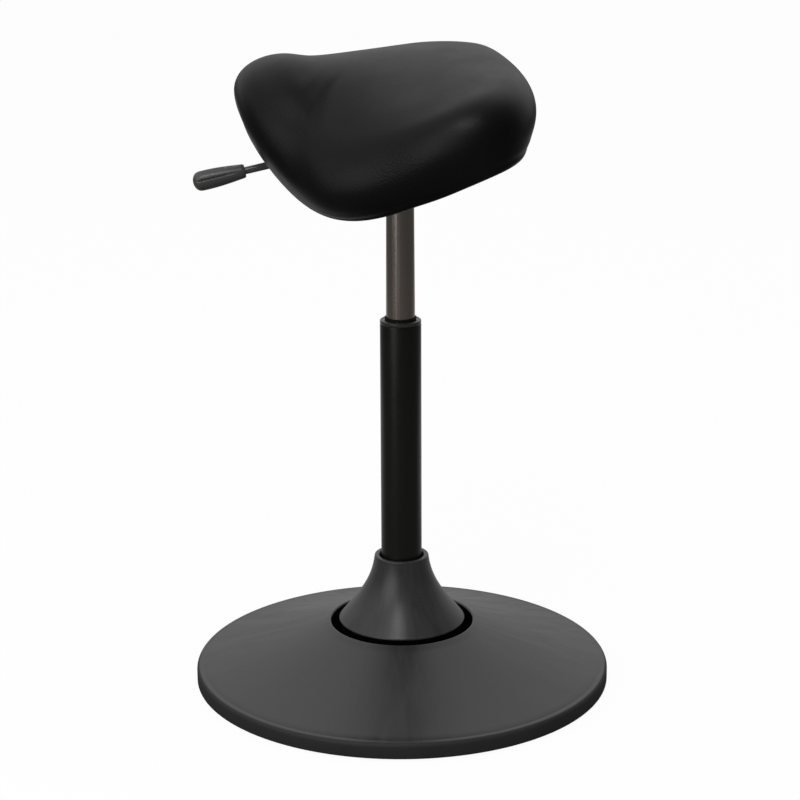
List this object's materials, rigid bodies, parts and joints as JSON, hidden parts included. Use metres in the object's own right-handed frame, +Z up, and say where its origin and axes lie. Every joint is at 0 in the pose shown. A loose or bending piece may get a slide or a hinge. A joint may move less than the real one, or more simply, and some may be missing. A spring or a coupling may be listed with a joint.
{
  "type": "saddle stool",
  "caption": "Saddle-shaped stool on a gas-spring column that swivels and leans on a rubber mount, with a height lever and a round weighted base.",
  "frame": {"origin": "on the floor, on the axis of the upright column", "axes": "+Z up, -Y ahead of the sitter (pommel and lever), +X to the sitter's left"},
  "size_m": [0.411, 0.411, 0.6306],
  "materials": {
    "leather": "satin",
    "base_plastic": "satin",
    "trumpet_plastic": "satin",
    "black_paint": "satin",
    "gunmetal_steel": "satin",
    "black_plastic": "satin",
    "lever_paint": "gloss",
    "black_rubber": "matte",
    "zinc_steel": "satin",
    "bright_steel": "polished"
  },
  "bodies": {
    "base": {"base_cover": "base_plastic", "base_plate": "zinc_steel", "floor_ring": "black_rubber", "cover_screw_1": "zinc_steel", "cover_screw_2": "zinc_steel", "cover_screw_3": "zinc_steel", "cover_screw_4": "zinc_steel", "mount_foot": "zinc_steel", "mount_screw_1": "zinc_steel", "mount_screw_2": "zinc_steel", "mount_screw_3": "zinc_steel", "mount_screw_4": "zinc_steel", "lower_rubber": "black_rubber"},
    "tilt_ring": {"interleaf_ring": "zinc_steel", "upper_rubber": "black_rubber"},
    "column": {"column_hub": "black_paint", "trumpet_cover": "trumpet_plastic", "outer_tube": "black_paint", "tube_end_plate": "zinc_steel", "lower_race": "zinc_steel", "ball_ring": "zinc_steel", "guide_bush": "black_plastic", "wiper_ring": "black_rubber"},
    "rod": {"piston_rod": "bright_steel", "upper_race": "zinc_steel", "bump_stop": "black_rubber", "piston": "bright_steel", "rod_clip": "zinc_steel"},
    "seat": {"gas_cylinder": "gunmetal_steel", "rod_gland": "black_plastic", "valve_body": "bright_steel", "seat_socket": "black_paint", "mechanism_plate": "black_paint", "pivot_pin": "bright_steel", "seat_shell": "black_plastic", "seat_cushion": "leather", "seat_screw_1": "zinc_steel", "seat_screw_2": "zinc_steel", "seat_screw_3": "zinc_steel", "seat_screw_4": "zinc_steel"},
    "lever": {"lever_rod": "lever_paint", "lever_grip": "black_plastic"},
    "release": {"release_pin": "bright_steel"}
  },
  "joints": [
    {"name": "tilt_x", "type": "hinge", "parent": "base", "child": "tilt_ring", "pos_m": [0, 0, 0.0307], "axis": [1, 0, 0], "range_deg": [-5, 5], "stiffness_Nm_per_rad": 400, "deforming": ["lower_rubber"]},
    {"name": "tilt_y", "type": "hinge", "parent": "tilt_ring", "child": "column", "pos_m": [0, 0, 0.0307], "axis": [0, 1, 0], "range_deg": [-5, 5], "stiffness_Nm_per_rad": 400, "deforming": ["upper_rubber"]},
    {"name": "swivel", "type": "hinge", "parent": "column", "child": "rod", "pos_m": [0, 0, 0.062], "axis": [0, 0, 1], "continuous": true},
    {"name": "lift", "type": "slide", "parent": "rod", "child": "seat", "axis": [0, 0, 1], "range_m": [-0.11, 0.09]},
    {"name": "lever", "type": "hinge", "parent": "seat", "child": "lever", "pos_m": [0, -0.034, 0.54053], "axis": [-1, 0, 0], "range_deg": [0, 5], "stiffness_Nm_per_rad": 20, "springref_deg": -2.86},
    {"name": "release", "type": "slide", "parent": "seat", "child": "release", "axis": [0, 0, -1], "range_m": [0, 0.0034]}
  ],
  "couplings": [
    {"joint": "release", "follows": "lever", "m_per_rad": 0.038}
  ]
}
